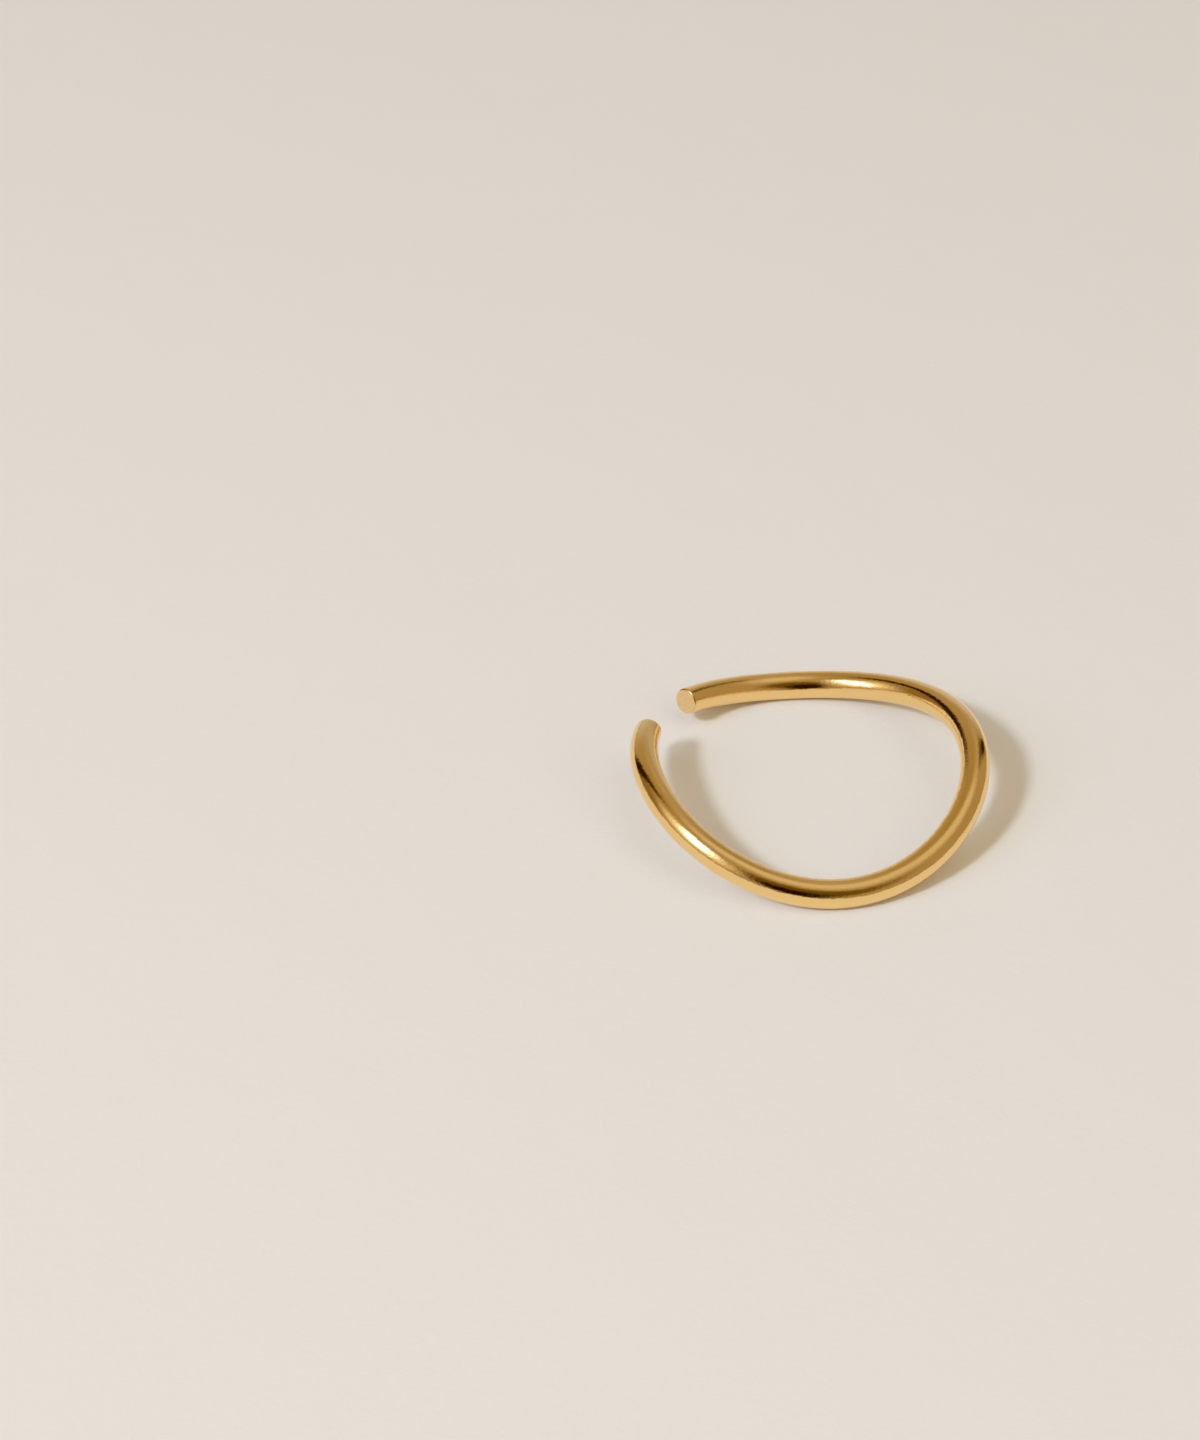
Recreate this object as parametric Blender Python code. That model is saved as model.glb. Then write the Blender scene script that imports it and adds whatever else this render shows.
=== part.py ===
"""Ear cuff: one round wire bent into an open ring that waves up and down.

Units are metres and +Z is up. The cuff lies on a table as it rests by itself, on the two low places of its
wave, one in front and one behind. The origin is the middle of its bounding box, at the level of the table.
The gap between the two cut ends is on the left, towards -X. Directions are degrees counted from +X.
"""

import bpy
import numpy as np

# Wire
WIRE_RADIUS = 0.0010
END_RADIUS = 0.00095  # the ends are filed slightly slimmer than the wire
TAPER_LENGTH = 0.0045  # stretch over which an end slims down
END_CHAMFER = 0.00013  # bevel round the rim of a cut

# Ring, seen from above
RING_RADIUS = 0.01153  # middle of the wire
FRONT_CUT = -196.2  # direction of the cut on the front side of the gap
BACK_CUT = 136.3  # direction of the cut on the back side of the gap

# Wave, seen from the side
WAVE_RISE = 0.00148  # from the middle height to a crest

# How far the ring departs from a true circle: each row is a wave round the ring, with its number of lobes,
# its size as a share of RING_RADIUS, and the direction of one of its lobes
BULGES = (
    # lobes, share, direction
    (2, 0.0067, 93.5),  # slightly longer from front to back than from side to side
    (3, 0.0018, 67.5),
    (4, 0.0069, 59.0),  # slightly squarer at the shoulders
)

# How high the wire rises: the rows are as above, with the size as a share of WAVE_RISE
LIFTS = (
    # crests, share, direction
    (1, 0.044, -93.0),  # leans a little, which brings its weight over the two low places
    (2, 1.0, 7.9),  # the saddle: high on the left and the right, low in front and behind
    (3, 0.113, 0.3),  # the crest away from the gap is the sharper one
)

SECTIONS = 96  # rings of faces along the wire
SMOOTH_STEPS = 3000  # fine steps from which evenly spaced sections are read
BEVEL_RESOLUTION = 10  # 24 faces round the wire
GOLD_COLOUR = (0.80, 0.50, 0.17, 1.0)
GOLD_ROUGHNESS = 0.22
COLLECTION_NAME = "ear_cuff"


def remove_scene_objects():
    for item in list(bpy.data.objects):
        bpy.data.objects.remove(item, do_unlink=True)


def waves(directions, rows):
    """Sum of the rows' cosine waves at each direction, in radians."""
    total = np.zeros_like(directions)
    for count, share, crest in rows:
        total += share * np.cos(count * (directions - np.radians(crest)))
    return total


def middle_line():
    """Points along the middle of the wire, from the front cut to the back cut, about the ring's centre."""
    directions = np.radians(np.linspace(FRONT_CUT, BACK_CUT, SMOOTH_STEPS))
    reach = RING_RADIUS * (1.0 + waves(directions, BULGES))
    height = WAVE_RISE * waves(directions, LIFTS)
    return np.column_stack((reach * np.cos(directions), reach * np.sin(directions), height))


def distances_along(line):
    steps = np.linalg.norm(np.diff(line, axis=0), axis=1)
    return np.concatenate(([0.0], np.cumsum(steps)))


def section_places(length):
    """Distances of the sections from the front cut: evenly spaced, with one more at each rim's bevel."""
    inner = np.linspace(END_CHAMFER, length - END_CHAMFER, SECTIONS)
    return np.concatenate(([0.0], inner, [length]))


def section_radii(places, length):
    """Full wire between the ends, slimming down smoothly to each cut and bevelled at its rim."""
    from_cut = np.minimum(places, length - places)
    fullness = np.sin(np.pi / 2 * np.minimum(from_cut / TAPER_LENGTH, 1.0))
    radii = END_RADIUS + (WIRE_RADIUS - END_RADIUS) * fullness
    return radii - np.maximum(END_CHAMFER - from_cut, 0.0)


def seated(points, radii):
    """The points moved so that the wire touches the table and its bounding box is centred on the origin."""
    slopes = np.gradient(points, axis=0)
    slopes /= np.linalg.norm(slopes, axis=1)[:, None]
    spread = radii[:, None] * np.sqrt(1.0 - slopes**2)  # half the size of each section's disc along X, Y and Z
    low = (points - spread).min(axis=0)
    high = (points + spread).max(axis=0)
    return points - (*(low + high)[:2] / 2, low[2])


def wire_curve(name, points, radii):
    curve = bpy.data.curves.new(name, "CURVE")
    curve.dimensions = "3D"
    curve.bevel_depth = WIRE_RADIUS
    curve.bevel_resolution = BEVEL_RESOLUTION
    curve.use_fill_caps = True
    spline = curve.splines.new("POLY")
    spline.points.add(len(points) - 1)
    spline.use_smooth = True
    for spline_point, place, radius in zip(spline.points, points, radii):
        spline_point.co = (*place, 1.0)
        spline_point.radius = radius / WIRE_RADIUS  # a share of the bevel depth
    return curve


def gold_material():
    material = bpy.data.materials.new("polished_gold_plate")
    material.use_nodes = True
    shader = material.node_tree.nodes["Principled BSDF"]
    shader.inputs["Base Color"].default_value = GOLD_COLOUR
    shader.inputs["Metallic"].default_value = 1.0
    shader.inputs["Roughness"].default_value = GOLD_ROUGHNESS
    material.diffuse_color = GOLD_COLOUR
    return material


def make_cuff_wire(collection):
    line = middle_line()
    along = distances_along(line)
    places = section_places(along[-1])
    points = np.column_stack([np.interp(places, along, line[:, axis]) for axis in range(3)])
    radii = section_radii(places, along[-1])
    cuff = bpy.data.objects.new("cuff_wire", wire_curve("cuff_wire", seated(points, radii), radii))
    cuff.data.materials.append(gold_material())
    collection.objects.link(cuff)


def main():
    remove_scene_objects()
    collection = bpy.data.collections.new(COLLECTION_NAME)
    bpy.context.scene.collection.children.link(collection)
    make_cuff_wire(collection)


main()
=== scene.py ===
"""Ear cuff in satin-polished gold plate, lying on pale paper.

The wire is swept by Geometry Nodes along the cuff's middle line, from the same sizes as the solid that it
stands for. Units are metres and +Z is up. The gap between the two filed ends is on the left, towards -X.
Compass directions in the stage are turned from +Y, away from the camera, towards +X.
"""

from math import cos, pi, radians, sin

import bpy
from bpy.props import FloatProperty, FloatVectorProperty, IntProperty, PointerProperty
from mathutils import Euler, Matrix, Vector


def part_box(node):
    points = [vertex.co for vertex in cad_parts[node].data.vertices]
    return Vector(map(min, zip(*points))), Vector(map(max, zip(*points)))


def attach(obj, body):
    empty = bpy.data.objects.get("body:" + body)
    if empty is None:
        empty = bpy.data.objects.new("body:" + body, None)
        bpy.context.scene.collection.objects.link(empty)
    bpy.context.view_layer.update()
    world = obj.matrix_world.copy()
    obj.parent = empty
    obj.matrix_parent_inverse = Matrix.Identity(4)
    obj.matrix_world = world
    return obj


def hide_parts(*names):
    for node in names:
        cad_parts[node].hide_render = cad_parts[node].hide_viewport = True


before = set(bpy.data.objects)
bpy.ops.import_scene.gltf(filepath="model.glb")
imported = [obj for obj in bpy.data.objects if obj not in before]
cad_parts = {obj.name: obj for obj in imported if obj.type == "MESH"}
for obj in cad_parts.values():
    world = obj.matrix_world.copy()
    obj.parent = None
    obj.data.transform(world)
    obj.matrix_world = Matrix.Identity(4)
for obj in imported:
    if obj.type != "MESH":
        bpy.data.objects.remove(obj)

bl_info = {
    "name": "Ear Cuff",
    "version": (1, 0, 0),
    "blender": (4, 5, 0),
    "location": "3D View > Sidebar > Ear Cuff",
    "description": "Makes a wave-shaped open ring of gold-plated wire and the paper it lies on",
    "category": "Object",
}

CUFF_NODE = "cuff_wire"
MM = 0.001

# How far the ring departs from a true circle: waves round the ring, as shares of the ring's radius
BULGES = (
    # lobes, share, direction
    (2, 0.0067, 93.5),
    (3, 0.0018, 67.5),
    (4, 0.0069, 59.0),
)

# How high the wire rises, as shares of the wave's rise
LIFTS = (
    # crests, share, direction
    (1, 0.044, -93.0),
    (2, 1.0, 7.9),
    (3, 0.113, 0.3),
)

RIM_STEPS = 6  # rows of faces round the edge of a cut
FINE_STEPS = 2000  # steps of the middle line from which the sections are read
BOX_TOLERANCE = 0.05 * MM  # the swept wire's box may differ this much from the solid's
PAPER_WIDTH = 16.0  # far wider than a real sheet, so that no view from above the paper runs past it

NOISE_LOW, NOISE_HIGH = 0.3, 0.7  # most of a noise texture's values lie between these

# Grain of the buffed gold
GRAIN_WIDTH = 0.13 * MM  # really 0.03 mm; at this width it just shows
GRAIN_DEPTH = 0.0075 * MM
GRAIN_SHAPE = 0.6  # the grain's width as a share of its length along the wire
GRAIN_GLOSS = 0.04  # the roughness departs this much from the polish, both ways

# Unevenness of the gold, left by hand polishing
SWELL_WIDTH = 1.4 * MM
SWELL_DEPTH = 0.012 * MM

# File marks on the cut ends
MARK_WIDTH = 0.12 * MM  # really 0.03 mm; at this width they just show
MARK_DEPTH = 0.03 * MM
MARK_SHAPE = 0.6  # a mark's width as a share of its length
MARK_ROUGHNESS = (0.3, 0.5)  # at the bottom and the top of the marks
# Painted shade: the noise values between which the file marks go from the browner colour at their bottoms to
# the full colour at their tops
MARK_SHADE_LOW, MARK_SHADE_HIGH = 0.35, 0.65  # the noise values between which the plate goes from thin to full

# Tufts of pressed fibres in the paper, and the slow waves of the whole sheet
TUFT_WIDTH = 0.6 * MM
TUFT_DEPTH = 0.03 * MM
COCKLE_WIDTH = 12 * MM
COCKLE_DEPTH = 0.10 * MM

# What the wire mirrors above the paper: soft oval patches, each laid over the ones before it. The angles are
# in degrees, softness is the share of the oval over which it fades, and glow multiplies its colour
ROOM_PATCHES = (
    # what it is, turn, height, half width, half height, softness, colour, glow
    ("bright ceiling", 55, 76, 38, 27, 0.8, "#D2C4AC", 1.0),
    ("pale wall beyond the paper", 4, 8, 42, 24, 0.8, "#C2C1C5", 1.05),
    ("lit stretch of the far wall", 14, 44, 22, 26, 0.8, "#AFA082", 1.0),
    ("warm wall on the left", -36, 54, 34, 30, 0.8, "#A58B57", 1.0),
    ("shade round the stand", -70, 16, 28, 26, 0.7, "#8A6E38", 1.0),
    ("edge of the stand", -50, 42, 12, 26, 0.7, "#553A04", 1.0),
    ("dark stand on the left", -50, 17, 11, 42, 0.6, "#2C1000", 1.0),
    ("top of the post on the right", 39, 38, 11, 20, 0.7, "#6B5220", 1.0),
    ("foot of the post on the right", 44, 20, 8, 18, 0.5, "#241000", 1.0),
    ("shade at the front", 172, 38, 36, 31, 0.5, "#66500A", 1.0),
    ("dark corner at the front", 180, 20, 24, 28, 0.6, "#280600", 1.0),
    ("light wall round the softbox", -118, 36, 39, 37, 1.0, "#F6EEDC", 1.35),
    ("bright softbox", -120, 43, 17, 29, 0.7, "#C0D6FF", 3.5),
)
ROOM_LIGHT = "#A9936C"  # the room's walls where no patch lies
PAPER_GLOW = "#CFC6B8"  # below the horizon, past the edge of the paper
HORIZON_BLEND = 0.02  # sine of the angle below the horizon over which the walls fade into that glow


def linear(hex_colour):
    """The linear colour of an sRGB hex value, as a shader socket wants it."""
    shares = [int(hex_colour[start:start + 2], 16) / 255 for start in (1, 3, 5)]
    return tuple(share / 12.92 if share <= 0.04045 else ((share + 0.055) / 1.055) ** 2.4 for share in shares)


def add_node(tree, kind, inputs=None, **settings):
    """Adds a node with its settings; inputs gives its sockets a value or another node's output each."""
    node = tree.nodes.new(kind)
    for name, value in settings.items():
        setattr(node, name, value)
    for key, source in (inputs or {}).items():
        if isinstance(source, bpy.types.NodeSocket):
            tree.links.new(source, node.inputs[key])
        else:
            node.inputs[key].default_value = source
    return node


def compass(turn, height):
    """Unit vector towards a compass direction and a height above the horizon, both in radians."""
    level = cos(height)
    return Vector((sin(turn) * level, cos(turn) * level, sin(height)))


class CuffWireSettings(bpy.types.PropertyGroup):
    wire_radius: FloatProperty(
        name="Wire Radius", description="Half the thickness of the wire",
        default=1.0 * MM, min=0.2 * MM, precision=5, unit="LENGTH")
    end_radius: FloatProperty(
        name="End Radius", description="Half the thickness of the wire at its filed ends",
        default=0.95 * MM, min=0.1 * MM, precision=5, unit="LENGTH")
    taper_length: FloatProperty(
        name="Taper Length", description="Stretch over which an end slims down",
        default=4.5 * MM, min=0.1 * MM, precision=5, unit="LENGTH")
    rim_radius: FloatProperty(
        name="Rim Radius", description="Rounding of the edge of a cut",
        default=0.13 * MM, min=0.01 * MM, precision=5, unit="LENGTH")
    ring_radius: FloatProperty(
        name="Ring Radius", description="Radius of the ring at the middle of the wire, seen from above",
        default=11.53 * MM, min=2.0 * MM, precision=5, unit="LENGTH")
    wave_rise: FloatProperty(
        name="Wave Rise", description="Height of a crest above the middle height of the wire",
        default=1.48 * MM, min=0.0, precision=5, unit="LENGTH")
    front_cut: FloatProperty(
        name="Front Cut", description="Direction of the cut on the front side of the gap",
        default=radians(-196.2), subtype="ANGLE", unit="ROTATION")
    back_cut: FloatProperty(
        name="Back Cut", description="Direction of the cut on the back side of the gap",
        default=radians(136.3), subtype="ANGLE", unit="ROTATION")
    sections: IntProperty(
        name="Sections", description="Rings of faces along the wire", default=560, min=40)
    sides: IntProperty(
        name="Sides", description="Faces round the wire", default=64, min=8)


class CuffFinishSettings(bpy.types.PropertyGroup):
    gold: FloatVectorProperty(
        name="Gold", description="Colour that the plated wire mirrors",
        subtype="COLOR", size=3, min=0.0, max=1.0, default=linear("#FFDB97"))
    cut_gold: FloatVectorProperty(
        name="Cut Gold", description="Colour of the filed ends",
        subtype="COLOR", size=3, min=0.0, max=1.0, default=linear("#FFEABC"))
    # Painted shade: the browner colour laid into the bottoms of the file marks on the cut ends
    cut_gold_painted_shade: FloatVectorProperty(
        name="Cut Gold In Painted Shade", description="Colour of the filed ends in the painted shade at the bottom of the file marks",
        subtype="COLOR", size=3, min=0.0, max=1.0, default=linear("#FACB88"))
    polish: FloatProperty(
        name="Polish", description="Roughness of the wire between its grains",
        default=0.11, min=0.0, max=1.0, subtype="FACTOR")
    paper: FloatVectorProperty(
        name="Paper", description="Colour of the paper",
        subtype="COLOR", size=3, min=0.0, max=1.0, default=linear("#EEEEF1"))


class CuffStageSettings(bpy.types.PropertyGroup):
    view_angle: FloatProperty(
        name="View Angle", description="Angle of the view down onto the paper",
        default=radians(38.0), subtype="ANGLE", unit="ROTATION")
    view_distance: FloatProperty(
        name="View Distance", description="From the camera to the paper at the middle of the picture",
        default=212.0 * MM, precision=4, unit="LENGTH")
    view_centre: FloatVectorProperty(
        name="View Centre", description="Place on the paper at the middle of the picture",
        size=2, default=(-14.474 * MM, 8.689 * MM), precision=5, unit="LENGTH")
    lens: FloatProperty(
        name="Lens", description="Focal length in millimetres, for a picture 36 mm high",
        default=73.2, unit="CAMERA")
    lamp_turn: FloatProperty(
        name="Lamp Turn", description="Compass direction of the lamp",
        default=radians(-132.6), subtype="ANGLE", unit="ROTATION")
    lamp_height: FloatProperty(
        name="Lamp Height", description="Angle of the lamp above the horizon",
        default=radians(42.9), subtype="ANGLE", unit="ROTATION")
    lamp_distance: FloatProperty(
        name="Lamp Distance", description="From the cuff to the lamp", default=0.9, unit="LENGTH")
    lamp_width: FloatProperty(
        name="Lamp Width", description="Width of the round soft lamp", default=0.126, unit="LENGTH")
    lamp_power: FloatProperty(
        name="Lamp Power", description="Power of the lamp", default=3.25, unit="POWER")
    lamp_colour: FloatVectorProperty(
        name="Lamp Colour", description="Colour of the lamp",
        subtype="COLOR", size=3, min=0.0, max=1.0, default=linear("#F7FFFF"))
    fill_turn: FloatProperty(
        name="Fill Turn", description="Compass direction of the wide fill light",
        default=radians(145.0), subtype="ANGLE", unit="ROTATION")
    fill_height: FloatProperty(
        name="Fill Height", description="Angle of the wide fill light above the horizon",
        default=radians(50.0), subtype="ANGLE", unit="ROTATION")
    fill_distance: FloatProperty(
        name="Fill Distance", description="From the cuff to the wide fill light",
        default=1.5, unit="LENGTH")
    fill_width: FloatProperty(
        name="Fill Width", description="Width of the wide fill light", default=2.0, unit="LENGTH")
    fill_power: FloatProperty(
        name="Fill Power", description="Power of the wide fill light", default=6.5, unit="POWER")
    fill_colour: FloatVectorProperty(
        name="Fill Colour", description="Colour of the wide fill light",
        subtype="COLOR", size=3, min=0.0, max=1.0, default=linear("#FFF0D2"))


def gold_plate_material(finish):
    """Gold plate over brass, drawn and then buffed along the wire.

    It mirrors the room with crisp edges, but a fine satin grain breaks up the mirrored softbox and frays the
    edge of each dark reflection.
    """
    material = bpy.data.materials.new("satin_polished_gold_plate")
    material.use_nodes = True
    tree = material.node_tree
    shader = tree.nodes["Principled BSDF"]
    place = add_node(tree, "ShaderNodeAttribute", attribute_name="wire_place")
    stretch = add_node(
        tree, "ShaderNodeMapping",
        {"Vector": place.outputs["Vector"], "Scale": (1.0, 1.0, GRAIN_SHAPE)})
    grain = add_node(
        tree, "ShaderNodeTexNoise",
        {"Vector": stretch.outputs[0], "Scale": 1 / GRAIN_WIDTH, "Detail": 1.0, "Roughness": 0.6})
    swell = add_node(
        tree, "ShaderNodeTexNoise",
        {"Vector": place.outputs["Vector"], "Scale": 1 / SWELL_WIDTH, "Detail": 1.0, "Roughness": 0.5})
    roughness = add_node(
        tree, "ShaderNodeMapRange",
        {"Value": grain.outputs[0], "From Min": NOISE_LOW, "From Max": NOISE_HIGH,
         "To Min": finish.polish - GRAIN_GLOSS, "To Max": finish.polish + GRAIN_GLOSS})
    uneven = add_node(
        tree, "ShaderNodeBump",
        {"Height": swell.outputs[0], "Strength": 1.0, "Distance": SWELL_DEPTH})
    bump = add_node(
        tree, "ShaderNodeBump",
        {"Height": grain.outputs[0], "Strength": 1.0, "Distance": GRAIN_DEPTH, "Normal": uneven.outputs[0]})
    shader.inputs["Base Color"].default_value = (*finish.gold, 1.0)
    shader.inputs["Metallic"].default_value = 1.0
    tree.links.new(roughness.outputs[0], shader.inputs["Roughness"])
    tree.links.new(bump.outputs[0], shader.inputs["Normal"])
    return material


def filed_end_material(finish):
    """The same plate over an end that was filed flat and left matt: paler, with fine file marks whose colour
    carries painted shade at their bottoms and painted light at their tops.
    """
    material = bpy.data.materials.new("filed_gold_plate_end")
    material.use_nodes = True
    tree = material.node_tree
    shader = tree.nodes["Principled BSDF"]
    place = add_node(tree, "ShaderNodeAttribute", attribute_name="wire_place")
    stretch = add_node(
        tree, "ShaderNodeMapping",
        {"Vector": place.outputs["Vector"], "Scale": (1.0, MARK_SHAPE, 1.0)})
    marks = add_node(
        tree, "ShaderNodeTexNoise",
        {"Vector": stretch.outputs[0], "Scale": 1 / MARK_WIDTH, "Detail": 3.0, "Roughness": 0.65})
    roughness = add_node(
        tree, "ShaderNodeMapRange",
        {"Value": marks.outputs[0], "From Min": NOISE_LOW, "From Max": NOISE_HIGH,
         "To Min": MARK_ROUGHNESS[0], "To Max": MARK_ROUGHNESS[1]})
    bump = add_node(
        tree, "ShaderNodeBump", {"Height": marks.outputs[0], "Strength": 1.0, "Distance": MARK_DEPTH})
    # Painted shade and light: the marks are coloured browner at their bottoms and paler at their tops,
    # standing in for the shade and light that they catch
    plate = add_node(
        tree, "ShaderNodeMapRange",
        {"Value": marks.outputs[0], "From Min": MARK_SHADE_LOW, "From Max": MARK_SHADE_HIGH})
    colour = add_node(
        tree, "ShaderNodeMix",
        {"Factor": plate.outputs[0], 6: (*finish.cut_gold_painted_shade, 1.0), 7: (*finish.cut_gold, 1.0)},
        data_type="RGBA")
    tree.links.new(colour.outputs[2], shader.inputs["Base Color"])
    shader.inputs["Metallic"].default_value = 1.0
    tree.links.new(roughness.outputs[0], shader.inputs["Roughness"])
    tree.links.new(bump.outputs[0], shader.inputs["Normal"])
    return material


def paper_material(finish):
    """Uncoated cotton paper: matt and pale, with a faint tooth of pressed fibres."""
    material = bpy.data.materials.new("uncoated_cotton_paper")
    material.use_nodes = True
    tree = material.node_tree
    shader = tree.nodes["Principled BSDF"]
    place = add_node(tree, "ShaderNodeTexCoord")
    tooth = add_node(
        tree, "ShaderNodeTexNoise",
        {"Vector": place.outputs["Object"], "Scale": 1 / TUFT_WIDTH, "Detail": 4.0, "Roughness": 0.6})
    cockle = add_node(
        tree, "ShaderNodeTexNoise",
        {"Vector": place.outputs["Object"], "Scale": 1 / COCKLE_WIDTH, "Detail": 2.0, "Roughness": 0.5})
    soft = add_node(
        tree, "ShaderNodeBump", {"Height": cockle.outputs[0], "Strength": 1.0, "Distance": COCKLE_DEPTH})
    bump = add_node(
        tree, "ShaderNodeBump",
        {"Height": tooth.outputs[0], "Strength": 1.0, "Distance": TUFT_DEPTH, "Normal": soft.outputs[0]})
    shader.inputs["Base Color"].default_value = (*finish.paper, 1.0)
    shader.inputs["Roughness"].default_value = 0.9
    shader.inputs["Specular IOR Level"].default_value = 0.2
    tree.links.new(bump.outputs[0], shader.inputs["Normal"])
    return material


def wire_formulas():
    """The sums that shape the wire, in order; each may name an input of the tree or an earlier result."""
    formulas = [
        # result, operation, what it works on
        ("turn", "SUBTRACT", "Back Cut", "Front Cut"),
        ("direction", "MULTIPLY_ADD", "share", "turn", "Front Cut"),
    ]
    for total, waves in (("bulge", BULGES), ("lift", LIFTS)):
        sum_so_far = 0.0
        for count, share, crest in waves:
            formulas += [
                ("from_crest", "SUBTRACT", "direction", radians(crest)),
                ("phase", "MULTIPLY", "from_crest", count),
                ("wave", "COSINE", "phase"),
                (total, "MULTIPLY_ADD", "wave", share, sum_so_far),
            ]
            sum_so_far = total
    formulas += [
        # The middle line
        ("reach", "MULTIPLY_ADD", "Ring Radius", "bulge", "Ring Radius"),
        ("cosine", "COSINE", "direction"),
        ("sine", "SINE", "direction"),
        ("x", "MULTIPLY", "reach", "cosine"),
        ("y", "MULTIPLY", "reach", "sine"),
        ("z", "MULTIPLY", "Wave Rise", "lift"),
        # Each section's distance from the nearer cut: rows round the rim, then evenly spaced ones
        ("last_row", "SUBTRACT", "Sections", 1.0),
        ("rows_left", "SUBTRACT", "last_row", "row"),
        ("rows_in", "MINIMUM", "row", "rows_left"),
        ("rim_share", "DIVIDE", "rows_in", RIM_STEPS),
        ("rim_part", "MINIMUM", "rim_share", 1.0),
        ("rim_turn", "MULTIPLY", "rim_part", pi / 2),
        ("rim_cosine", "COSINE", "rim_turn"),
        ("rim_sine", "SINE", "rim_turn"),
        ("minus_rim", "MULTIPLY", "Rim Radius", -1.0),
        ("rim_depth", "MULTIPLY_ADD", "rim_cosine", "minus_rim", "Rim Radius"),
        ("rim_inset", "MULTIPLY_ADD", "rim_sine", "minus_rim", "Rim Radius"),
        ("rows_past", "SUBTRACT", "rows_in", RIM_STEPS),
        ("plain_rows", "MAXIMUM", "rows_past", 0.0),
        ("half_length", "MULTIPLY", "length", 0.5),
        ("plain_half", "SUBTRACT", "half_length", "Rim Radius"),
        ("half_rows", "MULTIPLY_ADD", "last_row", 0.5, -RIM_STEPS),
        ("row_length", "DIVIDE", "plain_half", "half_rows"),
        ("from_cut", "MULTIPLY_ADD", "plain_rows", "row_length", "rim_depth"),
        # The same, counted from the front cut alone
        ("second_half", "GREATER_THAN", "row", "rows_left"),
        ("span", "MULTIPLY_ADD", "from_cut", -2.0, "length"),
        ("along", "MULTIPLY_ADD", "second_half", "span", "from_cut"),
        # Each section's radius
        ("taper_share", "DIVIDE", "from_cut", "Taper Length"),
        ("taper_part", "MINIMUM", "taper_share", 1.0),
        ("taper_turn", "MULTIPLY", "taper_part", pi / 2),
        ("fullness", "SINE", "taper_turn"),
        ("slimming", "SUBTRACT", "Wire Radius", "End Radius"),
        ("plain_radius", "MULTIPLY_ADD", "fullness", "slimming", "End Radius"),
        ("radius", "SUBTRACT", "plain_radius", "rim_inset"),
        # The place round the wire
        ("round_turn", "MULTIPLY", "share", 2 * pi),
        ("round_cosine", "COSINE", "round_turn"),
        ("round_sine", "SINE", "round_turn"),
        ("round_x", "MULTIPLY", "round_cosine", "Wire Radius"),
        ("round_y", "MULTIPLY", "round_sine", "Wire Radius"),
    ]
    return formulas


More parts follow.
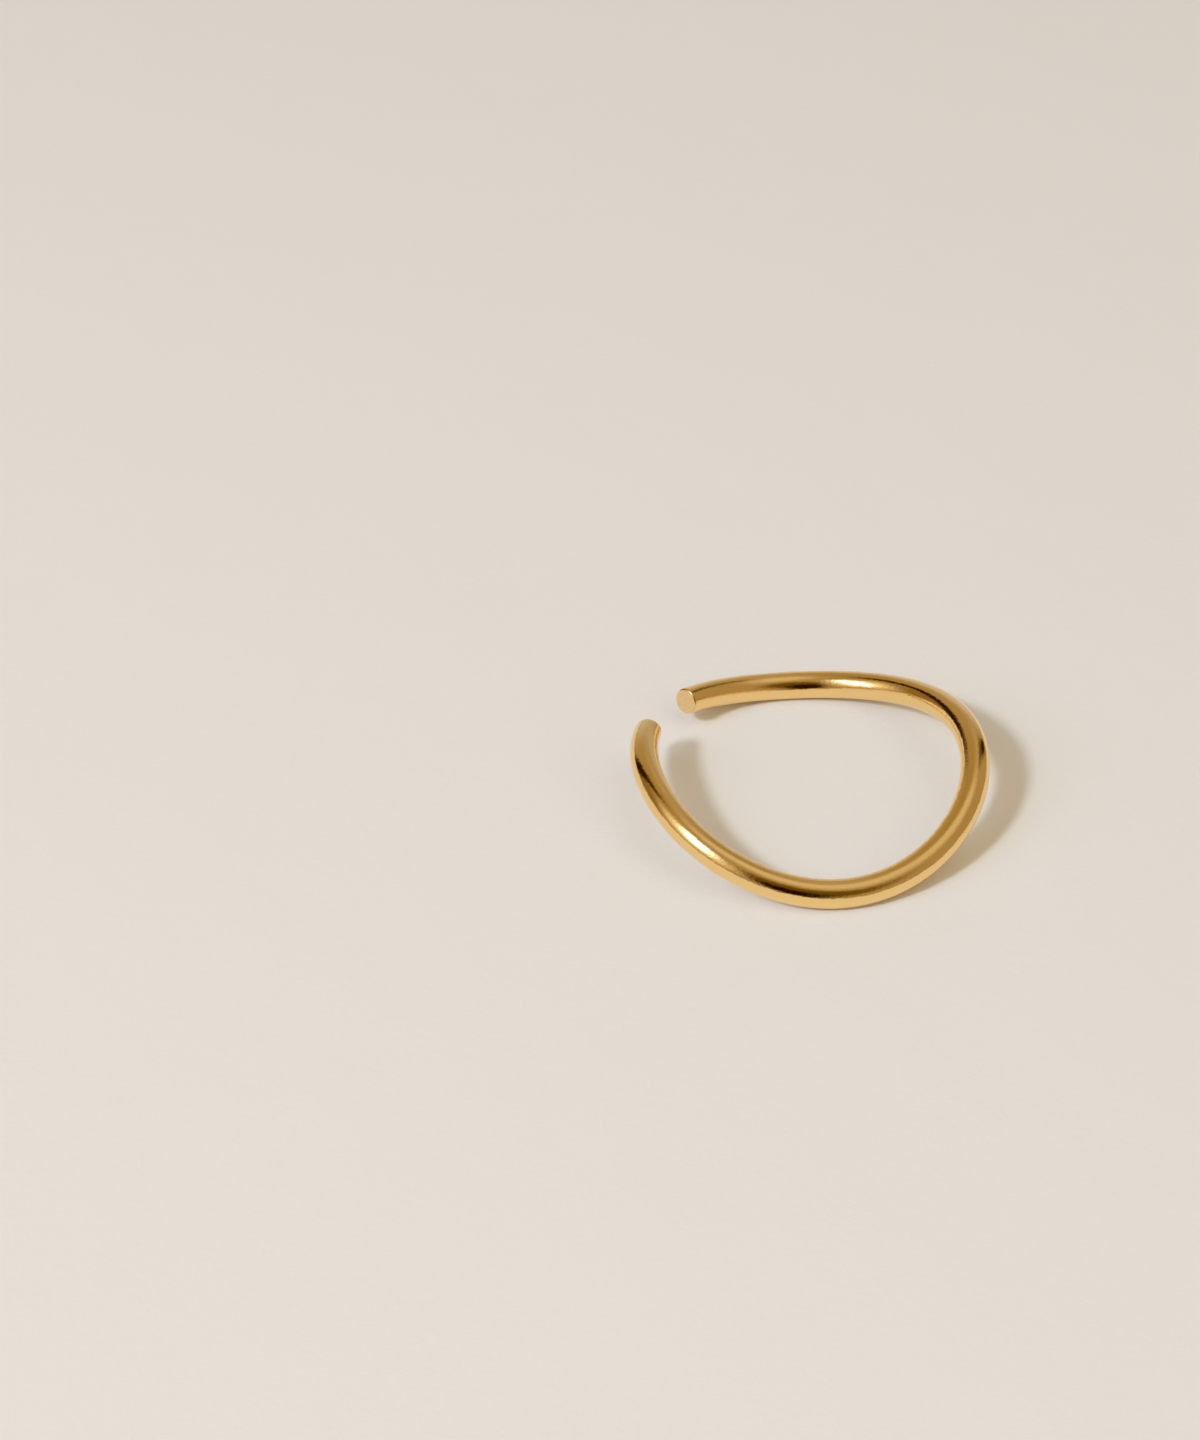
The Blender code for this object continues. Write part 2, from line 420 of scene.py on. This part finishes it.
def wire_tree():
    """Node tree that sweeps the wire: middle line, sections, skin, filed ends and seat on the paper."""
    tree = bpy.data.node_groups.new("swept_cuff_wire", "GeometryNodeTree")
    tree.interface.new_socket("Geometry", in_out="OUTPUT", socket_type="NodeSocketGeometry")
    lengths = ("Wire Radius", "End Radius", "Taper Length", "Rim Radius", "Ring Radius", "Wave Rise")
    for name in (*lengths, "Front Cut", "Back Cut"):
        tree.interface.new_socket(name, in_out="INPUT", socket_type="NodeSocketFloat")
    for name in ("Sections", "Sides"):
        tree.interface.new_socket(name, in_out="INPUT", socket_type="NodeSocketInt")
    for name in ("Wire Finish", "End Finish"):
        tree.interface.new_socket(name, in_out="INPUT", socket_type="NodeSocketMaterial")
    given = add_node(tree, "NodeGroupInput")
    measured = add_node(tree, "GeometryNodeCurveLength")

    # A formula may name the tree's inputs, the three measures added here, and each earlier result
    known = {socket.name: socket for socket in given.outputs}
    known["share"] = add_node(tree, "GeometryNodeSplineParameter").outputs["Factor"]
    known["row"] = add_node(tree, "GeometryNodeInputIndex").outputs[0]
    known["length"] = measured.outputs[0]
    for result, operation, *terms in wire_formulas():
        sources = {number: known.get(term, term) for number, term in enumerate(terms)}
        known[result] = add_node(tree, "ShaderNodeMath", sources, operation=operation).outputs[0]

    # Middle line
    straight = add_node(tree, "GeometryNodeCurvePrimitiveLine")
    fine = add_node(
        tree, "GeometryNodeResampleCurve",
        {"Curve": straight.outputs[0], "Count": FINE_STEPS}, mode="COUNT")
    line_place = add_node(tree, "ShaderNodeCombineXYZ", {0: known["x"], 1: known["y"], 2: known["z"]})
    line = add_node(
        tree, "GeometryNodeSetPosition", {"Geometry": fine.outputs[0], "Position": line_place.outputs[0]})
    tree.links.new(line.outputs[0], measured.inputs[0])

    # Sections along it
    rows = add_node(
        tree, "GeometryNodeResampleCurve",
        {"Curve": straight.outputs[0], "Count": known["Sections"]}, mode="COUNT")
    sampled = add_node(
        tree, "GeometryNodeSampleCurve",
        {"Curves": line.outputs[0], "Length": known["along"]}, mode="LENGTH")
    placed = add_node(
        tree, "GeometryNodeSetPosition",
        {"Geometry": rows.outputs[0], "Position": sampled.outputs["Position"]})
    path = add_node(tree, "GeometryNodeCaptureAttribute", domain="POINT")
    path.capture_items.new("FLOAT", "Along")
    tree.links.new(placed.outputs[0], path.inputs[0])
    tree.links.new(known["along"], path.inputs["Along"])

    # Skin
    circle = add_node(
        tree, "GeometryNodeCurvePrimitiveCircle",
        {"Resolution": known["Sides"], "Radius": 1.0}, mode="RADIUS")
    profile = add_node(tree, "GeometryNodeCaptureAttribute", domain="POINT")
    for name in ("Round X", "Round Y"):
        profile.capture_items.new("FLOAT", name)
    tree.links.new(circle.outputs[0], profile.inputs[0])
    tree.links.new(known["round_x"], profile.inputs["Round X"])
    tree.links.new(known["round_y"], profile.inputs["Round Y"])
    skin = add_node(
        tree, "GeometryNodeCurveToMesh",
        {"Curve": path.outputs[0], "Profile Curve": profile.outputs[0],
         "Scale": known["radius"], "Fill Caps": True})
    wire_place = add_node(
        tree, "ShaderNodeCombineXYZ",
        {0: profile.outputs["Round X"], 1: profile.outputs["Round Y"], 2: path.outputs["Along"]})
    marked = add_node(
        tree, "GeometryNodeStoreNamedAttribute",
        {"Geometry": skin.outputs[0], "Name": "wire_place", "Value": wire_place.outputs[0]},
        data_type="FLOAT_VECTOR", domain="POINT")

    # The two cut faces are the only ones with more than four corners
    neighbours = add_node(tree, "GeometryNodeInputMeshFaceNeighbors")
    is_cut = add_node(
        tree, "FunctionNodeCompare", {2: neighbours.outputs["Vertex Count"], 3: 4},
        data_type="INT", operation="GREATER_THAN")
    is_round = add_node(tree, "FunctionNodeBooleanMath", {0: is_cut.outputs[0]}, operation="NOT")
    smooth = add_node(
        tree, "GeometryNodeSetShadeSmooth",
        {"Geometry": marked.outputs[0], "Shade Smooth": is_round.outputs[0]})

    # Seat: centred over the origin, with the lowest point of the wave on the paper
    box = add_node(tree, "GeometryNodeBoundBox", {"Geometry": smooth.outputs[0]})
    middle = add_node(
        tree, "ShaderNodeMix",
        {"Factor": 0.5, 4: box.outputs["Min"], 5: box.outputs["Max"]}, data_type="VECTOR")
    middle_parts = add_node(tree, "ShaderNodeSeparateXYZ", {0: middle.outputs[1]})
    low_parts = add_node(tree, "ShaderNodeSeparateXYZ", {0: box.outputs["Min"]})
    seat = add_node(
        tree, "ShaderNodeCombineXYZ",
        {0: middle_parts.outputs[0], 1: middle_parts.outputs[1], 2: low_parts.outputs[2]})
    shift = add_node(tree, "ShaderNodeVectorMath", {0: seat.outputs[0], "Scale": -1.0}, operation="SCALE")
    seated = add_node(
        tree, "GeometryNodeSetPosition", {"Geometry": smooth.outputs[0], "Offset": shift.outputs[0]})

    real = add_node(tree, "GeometryNodeRealizeInstances", {"Geometry": seated.outputs[0]})
    gilded = add_node(
        tree, "GeometryNodeSetMaterial", {"Geometry": real.outputs[0], "Material": known["Wire Finish"]})
    filed = add_node(
        tree, "GeometryNodeSetMaterial",
        {"Geometry": gilded.outputs[0], "Selection": is_cut.outputs[0], "Material": known["End Finish"]})
    add_node(tree, "NodeGroupOutput", {0: filed.outputs[0]})
    return tree


class CUFF_OT_make_wire(bpy.types.Operator):
    """Sweeps the gold wire in place of its plain solid"""

    bl_idname = "cuff.make_wire"
    bl_label = "Make Wire"

    def execute(self, context):
        wire = context.scene.cuff_wire
        finish = context.scene.cuff_finish
        values = {
            "Wire Radius": wire.wire_radius,
            "End Radius": wire.end_radius,
            "Taper Length": wire.taper_length,
            "Rim Radius": wire.rim_radius,
            "Ring Radius": wire.ring_radius,
            "Wave Rise": wire.wave_rise,
            "Front Cut": wire.front_cut,
            "Back Cut": wire.back_cut,
            "Sections": wire.sections,
            "Sides": wire.sides,
            "Wire Finish": gold_plate_material(finish),
            "End Finish": filed_end_material(finish),
        }
        piece = bpy.data.objects.new("gold_wire", bpy.data.meshes.new("gold_wire"))
        context.scene.collection.objects.link(piece)
        sweep = piece.modifiers.new("swept_cuff_wire", "NODES")
        sweep.node_group = wire_tree()
        for socket in sweep.node_group.interface.items_tree:
            if socket.in_out == "INPUT":
                sweep[socket.identifier] = values[socket.name]
        context.view_layer.update()
        graph = context.evaluated_depsgraph_get()
        mesh = bpy.data.meshes.new_from_object(
            piece.evaluated_get(graph), preserve_all_data_layers=True, depsgraph=graph)
        mesh.name = "gold_wire"
        piece.modifiers.remove(sweep)
        piece.data = mesh
        check_box(piece)
        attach(piece, "root")
        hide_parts(CUFF_NODE)
        return {"FINISHED"}


def check_box(piece):
    """Stops the script if the swept wire doesn't fill the same box as the solid it stands for."""
    for corner, pick in zip(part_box(CUFF_NODE), (min, max)):
        for axis in range(3):
            reach = pick(vertex.co[axis] for vertex in piece.data.vertices)
            if abs(reach - corner[axis]) > BOX_TOLERANCE:
                raise RuntimeError(f"axis {axis}: the wire reaches {reach} m, its solid {corner[axis]} m")


def make_room():
    """A world of soft patches, so that the wire has the light and dark of a studio to mirror."""
    world = bpy.data.worlds.new("soft_studio_room")
    world.use_nodes = True
    tree = world.node_tree
    tree.nodes.clear()
    place = add_node(tree, "ShaderNodeTexCoord")
    look = add_node(tree, "ShaderNodeVectorMath", {0: place.outputs["Generated"]}, operation="NORMALIZE")
    height = add_node(tree, "ShaderNodeSeparateXYZ", {0: look.outputs[0]})
    above = add_node(
        tree, "ShaderNodeMapRange",
        {"Value": height.outputs[2], "From Min": -HORIZON_BLEND, "From Max": 0.0})
    colour = add_node(
        tree, "ShaderNodeMix",
        {"Factor": above.outputs[0], 6: (*linear(PAPER_GLOW), 1.0), 7: (*linear(ROOM_LIGHT), 1.0)},
        data_type="RGBA").outputs[2]
    for _, *angles, softness, hex_colour, glow in ROOM_PATCHES:
        turn, lift, half_width, half_height = (radians(angle) for angle in angles)
        oval = add_node(
            tree, "ShaderNodeMapping",
            {"Vector": look.outputs[0], "Location": compass(turn, lift),
             "Rotation": (lift, 0.0, -turn), "Scale": (half_width, 1.0, half_height)},
            vector_type="TEXTURE")
        nearness = add_node(
            tree, "ShaderNodeTexGradient", {"Vector": oval.outputs[0]}, gradient_type="SPHERICAL")
        cover = add_node(
            tree, "ShaderNodeMapRange",
            {"Value": nearness.outputs["Fac"], "From Min": 0.0, "From Max": softness},
            interpolation_type="SMOOTHSTEP")
        patch = [share * glow for share in linear(hex_colour)]
        colour = add_node(
            tree, "ShaderNodeMix", {"Factor": cover.outputs[0], 6: colour, 7: (*patch, 1.0)},
            data_type="RGBA").outputs[2]
    background = add_node(tree, "ShaderNodeBackground", {"Color": colour, "Strength": 1.0})
    add_node(tree, "ShaderNodeOutputWorld", {"Surface": background.outputs[0]})
    return world


def hang_lamp(scene, name, towards, distance, width, power, colour):
    """Hangs a round soft lamp that faces the cuff and lights the paper."""
    light = bpy.data.lights.new(name, "AREA")
    light.shape = "DISK"
    light.size = width
    light.energy = power
    light.color = colour
    lamp = bpy.data.objects.new(name, light)
    lamp.location = towards * distance
    lamp.rotation_euler = towards.to_track_quat("Z", "Y").to_euler()
    lamp.visible_glossy = False  # the gold mirrors the softbox and the walls of the room instead
    scene.collection.objects.link(lamp)


class CUFF_OT_make_stage(bpy.types.Operator):
    """Lays the paper, hangs the soft lamps in a plain studio room and sets up the camera"""

    bl_idname = "cuff.make_stage"
    bl_label = "Make Stage"

    def execute(self, context):
        scene = context.scene
        stage = scene.cuff_stage
        scene.world = make_room()
        scene.view_settings.view_transform = "Standard"

        half = PAPER_WIDTH / 2
        corners = [(-half, -half, 0.0), (half, -half, 0.0), (half, half, 0.0), (-half, half, 0.0)]
        sheet = bpy.data.meshes.new("paper")
        sheet.from_pydata(corners, [], [(0, 1, 2, 3)])
        sheet.materials.append(paper_material(scene.cuff_finish))
        paper = bpy.data.objects.new("paper", sheet)
        scene.collection.objects.link(paper)

        hang_lamp(
            scene, "soft_lamp", compass(stage.lamp_turn, stage.lamp_height), stage.lamp_distance,
            stage.lamp_width, stage.lamp_power, stage.lamp_colour)
        hang_lamp(
            scene, "wide_fill", compass(stage.fill_turn, stage.fill_height), stage.fill_distance,
            stage.fill_width, stage.fill_power, stage.fill_colour)

        lens = bpy.data.cameras.new("camera")
        lens.lens = stage.lens
        lens.clip_start = 1.0 * MM
        camera = bpy.data.objects.new("camera", lens)
        back = Vector((0.0, -cos(stage.view_angle), sin(stage.view_angle)))
        camera.location = Vector((*stage.view_centre, 0.0)) + back * stage.view_distance
        camera.rotation_euler = Euler((pi / 2 - stage.view_angle, 0.0, 0.0))
        scene.collection.objects.link(camera)
        scene.camera = camera
        return {"FINISHED"}


class CUFF_PT_sidebar(bpy.types.Panel):
    """Sizes, finishes and stage of the cuff, with a button for each step"""

    bl_idname = "CUFF_PT_sidebar"
    bl_label = "Ear Cuff"
    bl_space_type = "VIEW_3D"
    bl_region_type = "UI"
    bl_category = "Ear Cuff"

    def draw(self, context):
        scene = context.scene
        for group, step in (
            (scene.cuff_wire, "cuff.make_wire"),
            (scene.cuff_finish, None),
            (scene.cuff_stage, "cuff.make_stage"),
        ):
            box = self.layout.box()
            for name in group.__annotations__:
                box.prop(group, name)
            if step:
                box.operator(step)


CLASSES = (
    CuffWireSettings, CuffFinishSettings, CuffStageSettings,
    CUFF_OT_make_wire, CUFF_OT_make_stage, CUFF_PT_sidebar)


def register():
    for item in CLASSES:
        bpy.utils.register_class(item)
    bpy.types.Scene.cuff_wire = PointerProperty(type=CuffWireSettings)
    bpy.types.Scene.cuff_finish = PointerProperty(type=CuffFinishSettings)
    bpy.types.Scene.cuff_stage = PointerProperty(type=CuffStageSettings)


def unregister():
    del bpy.types.Scene.cuff_stage
    del bpy.types.Scene.cuff_finish
    del bpy.types.Scene.cuff_wire
    for item in reversed(CLASSES):
        bpy.utils.unregister_class(item)


def main():
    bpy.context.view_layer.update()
    register()
    bpy.ops.cuff.make_stage()
    bpy.ops.cuff.make_wire()


if __name__ == "__main__":
    main()
